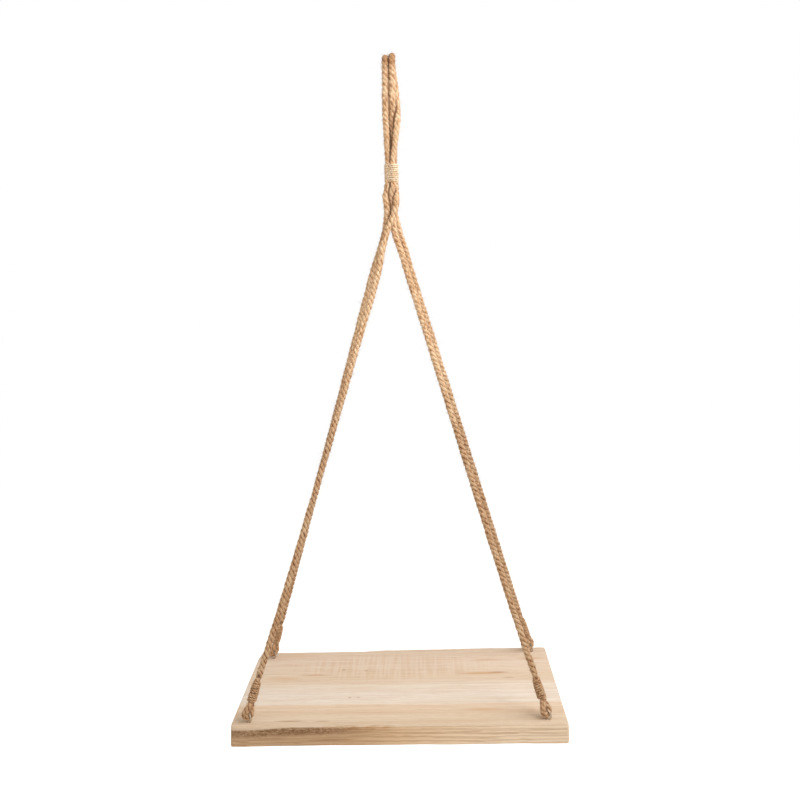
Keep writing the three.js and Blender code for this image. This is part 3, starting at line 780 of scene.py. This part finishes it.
*outline, torn = board_rings()
sawn_end = ease(np.abs(outline[0]), half_length - 0.7, half_length - 0.1)
rings = out_of_square(section(*outline))
middle = rings.mean(axis=1, keepdims=True)
inner = np.array([0.25, 0.5, 0.75, 0.93])[:, None, None]  # smaller rings that fill an end
left_cap = middle[:1] + (rings[:1] - middle[:1]) * inner
right_cap = middle[-1:] + (rings[-1:] - middle[-1:]) * inner[::-1]
rings = np.concatenate([left_cap, rings, right_cap])
# How broken the wood is: all of the torn corner, and some of the front face under it
sides = rings.shape[1]
reach = np.zeros(sides)
reach[-15:-9] = [0.3, 0.8, 1, 1, 1, 0.9]
reach[-9:-5] = [0.7, 0.4, 0.2, 0.1]
broken = np.pad(torn.clip(0, 1), 4)[:, None] * reach
end_cut = np.append(np.repeat(np.pad(sawn_end, 4, constant_values=1), sides), [1, 1])
rings[..., 2] += top_height
quads, fans = tube_faces(*rings.shape[:2])
points = np.vstack([rings.reshape(-1, 3), rings[0].mean(axis=0), rings[-1].mean(axis=0)])
maps = {"broken": np.append(broken, [0, 0]), "end_cut": end_cut}
board = new_piece("sawn_board", points, quads, fans, flat_fans=False, **maps)
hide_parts("board")
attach(board, "shelf")
print("board", points.min(axis=0).round(1).tolist(), points.max(axis=0).round(1).tolist())

# %% [markdown]
# ## Colours and nodes
# Colours are written as they look on a screen, and one function turns them into the linear
# values that light is reckoned in. One more function adds a node, sets it up and links it. What
# every material repeats, such as noise, ramps and layers of tone, is a short function that
# adds one node and gives its output.

# %% Colours, and one function that adds a node
def colour(shade):
    """Linear red, green, blue and alpha of a colour written as #rrggbb. Each part is divided by
    12.92 near black, and otherwise shifted, scaled and raised to the power 2.4. A plain number
    is a linear grey, and anything else is given back as it is."""
    if isinstance(shade, float):
        return (shade, shade, shade, 1.0)
    if not isinstance(shade, str):
        return shade
    parts = np.array([int(shade[k : k + 2], 16) for k in (1, 3, 5)]) / 255
    linear = np.where(parts <= 0.04045, parts / 12.92, ((parts + 0.055) / 1.055) ** 2.4)
    return (*linear.tolist(), 1.0)


def plug(tree, node, inputs):
    """Give a node its inputs, each another node's output or a plain value."""
    for socket, value in inputs.items():
        if isinstance(value, bpy.types.NodeSocket):
            tree.links.new(value, node.inputs[socket])
        else:
            node.inputs[socket].default_value = value


def add(tree, kind, inputs=None, stops=None, **settings):
    """Add a node with its settings and inputs. Stops are the places and colours of a ramp."""
    node = tree.nodes.new("ShaderNode" + kind)
    for key, value in settings.items():
        setattr(node, key, value)
    plug(tree, node, inputs or {})
    if stops:
        elements = node.color_ramp.elements
        while len(elements) < len(stops):
            elements.new(0.5)
        for element, (place, shade) in zip(elements, stops):
            element.position, element.color = place, colour(shade)
    return node


print("raw jute reads", [round(v, 3) for v in colour("#c89b6e")])

# %% The steps that the materials repeat
# Each function adds one node to the tree and gives that node's output.
def noise(tree, vector, scale=1.0, detail=2.0, roughness=0.5):
    """Smooth noise between 0 and 1."""
    inputs = {"Vector": vector, "Scale": scale, "Detail": detail, "Roughness": roughness}
    return add(tree, "TexNoise", inputs).outputs["Fac"]


def mapped(tree, vector, scale=(1, 1, 1), moved=(0, 0, 0), turned=(0, 0, 0)):
    """Coordinates that are scaled, then turned, then moved."""
    inputs = {"Vector": vector, "Scale": scale, "Location": moved, "Rotation": turned}
    return add(tree, "Mapping", inputs).outputs[0]


def calc(tree, operation, *values):
    """One step of arithmetic."""
    return add(tree, "Math", dict(enumerate(values)), operation=operation).outputs[0]


def times(tree, one, other):
    """Two numbers multiplied."""
    return calc(tree, "MULTIPLY", one, other)


def remap(tree, value, start, end, low=0.0, high=1.0, smooth=False):
    """Low where the value is at start and high where it is at end, even or eased between."""
    way = "SMOOTHSTEP" if smooth else "LINEAR"
    inputs = {0: value, 1: start, 2: end, 3: low, 4: high}
    return add(tree, "MapRange", inputs, interpolation_type=way).outputs[0]


def ramp(tree, value, *stops):
    """A colour that follows a value through stops, each a place and a colour."""
    return add(tree, "ValToRGB", {"Fac": value}, stops).outputs["Color"]


def cover(tree, amount, under, over, blend="MIX"):
    """One colour over another by that amount."""
    inputs = {0: amount, 6: under, 7: colour(over)}
    return add(tree, "Mix", inputs, data_type="RGBA", blend_type=blend).outputs[2]


def glaze(tree, amount, under, over):
    """One colour multiplied with another by that amount, as a stain darkens what is under it."""
    return cover(tree, amount, under, over, "MULTIPLY")


def spot_fade(tree, vector):
    """1 at the origin of the coordinates, falling to 0 at a distance of 1."""
    return add(tree, "TexGradient", {"Vector": vector}, gradient_type="SPHERICAL").outputs["Fac"]


def stored(tree, name, output="Fac"):
    """One of the maps that are stored with a piece's points."""
    return add(tree, "Attribute", attribute_name=name).outputs[output]


def new_material(name):
    """An empty material, its tree and its shader."""
    material = bpy.data.materials.new(name)
    material.use_nodes = True
    tree = material.node_tree
    tree.nodes.clear()
    shader = add(tree, "BsdfPrincipled")
    add(tree, "OutputMaterial", {"Surface": shader.outputs["BSDF"]})
    return material, tree, shader


def own_place(tree):
    """The object's own coordinates, in metres."""
    return add(tree, "TexCoord").outputs["Object"]


def bumps(tree, height, strength, distance):
    """A surface direction that a height between 0 and 1 disturbs, over a distance in metres."""
    inputs = {"Height": height, "Strength": strength, "Distance": distance}
    return add(tree, "Bump", inputs).outputs["Normal"]


def give(material, pieces):
    """Put a material on each of the pieces."""
    for piece in pieces:
        piece.data.materials.append(material)
    print(material.name, "on", len(pieces))


# %% [markdown]
# ## Jute rope
# Jute is a dry, woody bast fibre, spun into yarns and laid into rope without any finish. It
# is matt, golden brown where light falls on the yarns, and dark in the grooves between the
# strands, where fibres shade each other. Its fibres show as fine streaks in line with the
# rope, and whole strands are a little lighter or darker as the raw fibre varies.

# %% The rope's material
def jute(name, dark, middle, light, groove_shade, yarn_scale, map_scale):
    """Streaks of fibre over a slow change of tone, darkened in the grooves."""
    material, tree, shader = new_material(name)
    steady = stored(tree, "steady", "Vector")
    # Fibres: streaks about 0.45 mm across and 6 mm long, coarser than real so that they show
    fine = mapped(tree, steady, (yarn_scale, yarn_scale, 0.16 * map_scale))
    fibres = noise(tree, fine, detail=3.0, roughness=0.6)
    # Tufts: yarns rise and dive, and each has its own tone for a few millimetres
    coarse = mapped(tree, steady, (0.42 * map_scale, 0.42 * map_scale, 0.2 * map_scale))
    tufts = noise(tree, coarse, roughness=0.55)
    slow = noise(tree, mapped(tree, steady, (0.12, 0.12, 0.035)))
    mixed = times(tree, fibres, 0.28)
    for part, weight in ((tufts, 0.46), (slow, 0.26)):
        mixed = calc(tree, "MULTIPLY_ADD", part, weight, mixed)
    shade = ramp(tree, mixed, (0.38, dark), (0.48, middle), (0.6, light))
    # The grooves come and go, because loose fibres fill them in places
    sunk = times(tree, stored(tree, "groove"), remap(tree, tufts, 0.62, 0.4, 0.25, 1.0))
    shade = glaze(tree, sunk, shade, groove_shade)
    # No light gets in between two ropes that touch, so the fibres there look almost brown
    shade = glaze(tree, stored(tree, "crowd"), shade, "#6f3f1c")
    # The rope is darker towards the board, and darker still in its grooves there: painted shade,
    # for the light that falls off further down
    height = add(tree, "SeparateXYZ", {0: own_place(tree)}).outputs["Z"]
    painted_low_shade = remap(tree, height, -0.34, -0.48, smooth=True)
    shade = glaze(tree, painted_low_shade, shade, "#e6e0da")
    shade = glaze(tree, times(tree, sunk, painted_low_shade), shade, "#b39474")
    # Over the hook the rope is darker: partly rubbed and pressed, partly painted shade from the
    # hook
    rubbed_and_shaded = remap(tree, height, -0.014, -0.002, high=0.8, smooth=True)
    shade = glaze(tree, rubbed_and_shaded, shade, "#b99a78")
    plug(tree, shader, {
        "Base Color": shade, "Normal": bumps(tree, fibres, 0.5, 0.0004), "Roughness": 0.92,
        "IOR": 1.45, "Specular IOR Level": 0.25, "Sheen Weight": 0.12, "Sheen Roughness": 0.6,
    })
    return material


give(jute("laid jute rope, raw", "#b88a5e", "#e3ba90", "#f6d9b3", "#b98d62", 2.2, 1.0), ropes)
# The loop's twine gets paler tones than the corners': painted light, for the strong light on the
# loop
pale = ("#e6bb8e", "#ffe2ba", "#fff3de", "#d3a172")
give(jute("two-ply jute twine, raw", *pale, 3.0, 1.6), twines[:1])
# The corners' twine gets darker tones: painted shade, for the weaker light near the board
brown = ("#b88a60", "#e0b58a", "#f2d0a8", "#a27950")
give(jute("two-ply jute twine, darkened by handling", *brown, 2.6, 1.5), twines[1:])

# %% [markdown]
# ## Stray jute fibres
# A single fibre is translucent and paler than the rope, because light passes through it.

# %% The hairs' material
material, tree, shader = new_material("stray jute fibres")
patches = noise(tree, own_place(tree), 180.0, 1.0)
tint = ramp(tree, patches, (0.35, "#d0a77c"), (0.65, "#f3dcbd"))
plug(tree, shader, {"Base Color": tint, "Roughness": 0.8, "Specular IOR Level": 0.2})
give(material, [hairs for hairs, _ in fibre_pieces])

# %% [markdown]
# ## Bright steel wire
# The screw eyes are drawn steel wire with a thin zinc plate. Zinc is a grey metal with a soft
# gleam. Drawing leaves fine lines, and handling dulls it in patches.

# %% The wire's material
material, tree, shader = new_material("zinc-plated steel wire, drawn")
place = own_place(tree)
patches = noise(tree, place, 260.0, 4.0)
plug(tree, shader, {
    "Base Color": ramp(tree, patches, (0.3, "#9c8e79"), (0.7, "#d8cbb6")),
    "Roughness": remap(tree, patches, 0.3, 0.7, 0.5, 0.32),
    "Normal": bumps(tree, noise(tree, place, 2400.0), 0.15, 0.0001),
    "Metallic": 1.0,
})
give(material, eyes)

# %% [markdown]
# ## Sawn pale wood
# The board is a light, raw wood, cut lengthwise from the outer part of the trunk: the growth
# rings lie almost flat in it. So the top shows broad soft bands along the board, and the
# sides show thin lines a few millimetres apart. The saw has left faint marks straight across
# the rear half of the top, and the surface has no finish at all.

# %% Growth rings
wood, tree, shader = new_material("paulownia board, rough sawn")
ring_width = 3.4
# Millimetres, counted from the middle of the board's top
mm = mapped(tree, own_place(tree), (1000, 1000, 1000), (0, 0, -top_height))
x_mm, y_mm, z_mm = add(tree, "SeparateXYZ", {0: mm}).outputs
drift = noise(tree, mapped(tree, mm, (0.0035, 0.012, 0.02)))
drift_mm = calc(tree, "MULTIPLY_ADD", drift, 34.0, -17.0)
# The pith lay 120 mm under the board, a little to its front, and not quite in line with it
pith = mapped(tree, mm, (0.0001, 1, 1), (0, 28, 120), (0, 0.018, 0.03))
out = add(tree, "VectorMath", {0: pith}, operation="LENGTH").outputs["Value"]
out = calc(tree, "MULTIPLY_ADD", drift_mm, 0.35, out)
year = calc(tree, "FRACT", times(tree, out, 1 / ring_width))
late = ramp(tree, year, (0.0, 0.0), (0.55, 0.18), (0.9, 1.0), (1.0, 0.0))
print(f"growth rings {ring_width} mm apart")

# %% Broad bands of tone along the board
band = remap(tree, calc(tree, "ADD", y_mm, drift_mm), -half_depth, half_depth)
top = ramp(
    tree, band, (0.00, "#e1cbb0"), (0.10, "#ead6bc"), (0.14, "#e8d0b4"), (0.25, "#f1dac0"),
    (0.27, "#f2e4d2"), (0.40, "#f5e8d9"), (0.49, "#f3e4d1"), (0.52, "#eedac3"),
    (0.60, "#edd8be"), (0.70, "#eedac3"), (0.82, "#f1ddc8"), (1.00, "#e9d3bb"),
)
print("the palest band lies just in front of the middle")

# %% Fibres along the board, coarse and fine
# Each layer is long along the board and thin across it. Real fibres are thinner than the fine
# layer's 0.7 mm, which is as thin as still shows from a step away.
layers = (
    (0.0045, 0.11, 0.40, 0.56, "#e6d0b6", 0.22),
    (0.011, 0.42, 0.38, 0.52, "#dcc4a7", 0.18),
    (0.06, 1.5, 0.36, 0.52, "#cdb498", 0.26),
)
for lengthwise, across, start, end, shade, amount in layers:
    grain = noise(tree, mapped(tree, mm, (lengthwise, across, across)), 1.0, 3.0, 0.55)
    top = glaze(tree, amount, top, ramp(tree, grain, (start, shade), (end, 1.0)))
top = cover(tree, times(tree, late, 0.14), top, "#cfa87c")
print(len(layers), "layers of fibre")

# %% The marks of the saw, and stains
# The saw's teeth scraped pale lines across, 3 to 4 mm apart, over the rear half of the top
near = spot_fade(tree, mapped(tree, mm, (0.006, 0.0175, 0), (0.1, -1.1, 0)))
near = remap(tree, near, 0.0, 0.5, high=0.3, smooth=True)
at = mapped(tree, mm, (0.27, 0.008, 0.008), turned=(0, 0, 0.004))
scrape = remap(tree, noise(tree, at, roughness=0.4), 0.42, 0.62)
top = glaze(tree, near, top, "#f3e2cf")
top = cover(tree, times(tree, scrape, near), top, "#f4e6d5")
# Stains and specks: place, half length, half width, shade and strength
stains = [
    (-116, 36, 30, 4, "#c58a52", 0.55), (-156, 24, 34, 9, "#dcab78", 0.45),
    (127, 39, 20, 2.1, "#7d5236", 0.9), (106, 36, 46, 6, "#d29a62", 0.65),
    (141, 20, 12, 2.2, "#a3744d", 0.5), (103, -80, 40, 6, "#d2a070", 0.45),
    (-79, 54, 4, 3.5, "#a8865f", 0.6), (-49, 50, 4, 3.5, "#a8865f", 0.5),
    (-65, -40, 3.5, 3, "#a8865f", 0.6), (-54, -40, 3.5, 3, "#a8865f", 0.5),
    (-132, -109, 26, 2.6, "#a87c54", 0.75), (-150, 108, 40, 8, "#dcb58c", 0.4),
    (-93, -110, 14, 2.4, "#b58a60", 0.6), (116, 84, 30, 5, "#d0a477", 0.6),
    (178, 88, 26, 7, "#d6a877", 0.55), (60, -112, 90, 5, "#dcb892", 0.35),
    (-20, -86, 90, 5, "#d9b28a", 0.35), (40, 88, 70, 5, "#dfbd98", 0.35),
]
# Round each screw eye a dark spot: partly the screw's mark in the wood, partly painted shade under
# the rope's eye
stains += [(*foot_of(corner)[0][:2], 4.5, 4.5, "#8f6843", 0.6) for corner in runs]
for x, y, long, wide, shade, amount in stains:
    at = add(tree, "VectorMath", {0: mm, 1: (x, y, 0)}, operation="SUBTRACT").outputs[0]
    spot = spot_fade(tree, mapped(tree, at, (1 / long, 1 / wide, 0.15)))
    spot = remap(tree, times(tree, spot, grain), 0.05, 0.4, high=amount)
    top = cover(tree, spot, top, shade)
print(len(stains), "stains and specks")

# %% The sides
# On the sides the growth rings stand edge on, so their late wood shows as brown lines. At the
# left end the upper corner is worn round, so the side begins lower there.
side_z = calc(tree, "ADD", z_mm, remap(tree, x_mm, -128.0, -175.0, high=2.8))
below = remap(tree, side_z, -0.5, -1.8, smooth=True)
surface = cover(tree, times(tree, below, 0.95), top, "#ffe7c9")
lines = noise(tree, mapped(tree, mm, (0.014, 0.62, 0.62)), 1.0, 3.0, 0.6)
lines = remap(tree, lines, 0.52, 0.36)
patchy = times(tree, late, remap(tree, drift, 0.4, 0.6, 0.9, 0.3))
lines = times(tree, calc(tree, "MAXIMUM", patchy, lines), below)
surface = cover(tree, times(tree, lines, 0.58), surface, "#bf9468")

# %% The front face: painted shade, darker wood and dirt
# The front face is darker towards its left end, partly as darker wood and partly as painted shade
# for light that falls off away from the lamp on the right; along its upper edge there it is dirty
# as well
in_front = times(tree, below, remap(tree, y_mm, -118.0, -123.0))
darker_leftward = ramp(
    tree, remap(tree, x_mm, -half_length, half_length), (0.0, "#d6c6b6"), (0.15, "#cfbeac"),
    (0.36, "#dccbb9"), (0.5, "#efe1d2"), (0.7, "#fffbf6"), (0.9, 1.0),
)
surface = glaze(tree, in_front, surface, darker_leftward)
splinters = noise(tree, mapped(tree, mm, (0.3, 0.55, 0.55)), 1.0, 4.0, 0.75)
splinters = remap(tree, splinters, 0.4, 0.6)
high = remap(tree, side_z, -15.0, -5.0, smooth=True)
leftward = remap(tree, x_mm, -20.0, -110.0, smooth=True)
dirty = times(tree, times(tree, high, leftward), in_front)
dirty = times(tree, dirty, remap(tree, splinters, 0.0, 1.0, 0.25, 1.0))
surface = glaze(tree, dirty, surface, "#aa9a89")

# %% The end grain and the torn corner
# At the ends the cut pores drink light, and the rings show as arcs
pores = ramp(tree, noise(tree, mm, 1.1), (0.35, "#b9966f"), (0.6, "#e0c4a2"))
end_grain = cover(tree, times(tree, late, 0.45), pores, "#9c7750")
surface = cover(tree, stored(tree, "end_cut"), surface, end_grain)
# Where the corner tore out, the ends of the fibres stand up and shade each other
slivers = noise(tree, mapped(tree, mm, (0.07, 0.9, 0.9)), 1.0, 3.0, 0.6)
frayed = times(tree, stored(tree, "broken"), remap(tree, slivers, 0.42, 0.62))
relief = calc(tree, "MULTIPLY_ADD", frayed, 0.7, grain)
plug(tree, shader, {
    "Base Color": glaze(tree, frayed, surface, "#dcc8af"),
    "Roughness": remap(tree, grain, 0.3, 0.7, 0.92, 0.78),
    "Normal": bumps(tree, relief, 0.4, 0.0006),
    "Specular IOR Level": 0.25,
})
give(wood, [board])

# %% [markdown]
# ## Floor, background and light
# The shelf hangs well above a plain pale floor. Seen by the camera or in metal, floor and
# background are white, but for the object they give only a soft light from all round. One
# large lamp from the right, the front and above draws the shadows, as it does in the picture.
# It is a little cool and the light from all round a little warm, so the shadows on wood and
# rope turn brown and not grey. Two weak lamps lift the loop and the side to the left.

# %% Floor
def seen_directly(tree):
    """1 for rays of the camera, of mirrors and of glass, and 0 for those that only light."""
    path = add(tree, "LightPath").outputs
    mirrored = calc(tree, "MAXIMUM", path["Is Camera Ray"], path["Is Glossy Ray"])
    return calc(tree, "MAXIMUM", mirrored, path["Is Transmission Ray"])


half_side, floor_height = 4.0, -1.35
square = [(x * half_side, y * half_side) for x, y in ((-1, -1), (1, -1), (1, 1), (-1, 1))]
floor_mesh = bpy.data.meshes.new("floor")
floor_mesh.from_pydata([(x, y, floor_height) for x, y in square], [], [(0, 1, 2, 3)])
floor = bpy.data.objects.new("floor", floor_mesh)
bpy.context.scene.collection.objects.link(floor)
material, tree, shader = new_material("matt white floor")
plug(tree, shader, {
    "Emission Strength": times(tree, seen_directly(tree), 0.62),
    "Emission Color": (1, 1, 1, 1), "Base Color": colour("#f2f1ee"), "Roughness": 0.95,
})
give(material, [floor])

# %% Background and lamps
world = bpy.data.worlds.new("white studio")
bpy.context.scene.world = world
world.use_nodes = True
tree = world.node_tree
tree.nodes.clear()
seen = seen_directly(tree)
tint = cover(tree, seen, (1.0, 0.955, 0.905, 1), (1, 1, 1, 1))
sky = {"Color": tint, "Strength": remap(tree, seen, 0.0, 1.0, 0.52, 1.0)}
add(tree, "OutputWorld", {"Surface": add(tree, "Background", sky).outputs[0]})


def lamp(name, place, aim, size, power, tint=(1, 1, 1)):
    """A square soft lamp at a place, turned towards its aim. It shines along its own -Z."""
    data = bpy.data.lights.new(name, "AREA")
    data.size, data.energy, data.color = size, power, tint
    back = unit(np.subtract(place, aim))
    side = unit(np.cross((0, 0, 1.0), back))
    pose = np.eye(4)
    pose[:3, :4] = np.column_stack([side, np.cross(back, side), back, place])
    made = bpy.data.objects.new(name, data)
    made.matrix_world = Matrix(pose.tolist())
    bpy.context.scene.collection.objects.link(made)


lamp("key_lamp", (0.85, -0.46, 0.52), (0, 0, -0.5), 1.3, 15.3, (0.98, 1.0, 1.05))
lamp("loop_lamp", (0.28, -0.5, 0.0), (0, 0, -0.2), 0.3, 1.0)
lamp("fill_lamp", (-1.2, -1.6, 0.2), (0, 0, -0.4), 1.2, 4.2)
bpy.context.scene.view_settings.view_transform = "Standard"
print("one key lamp, one for the loop and one weak fill")
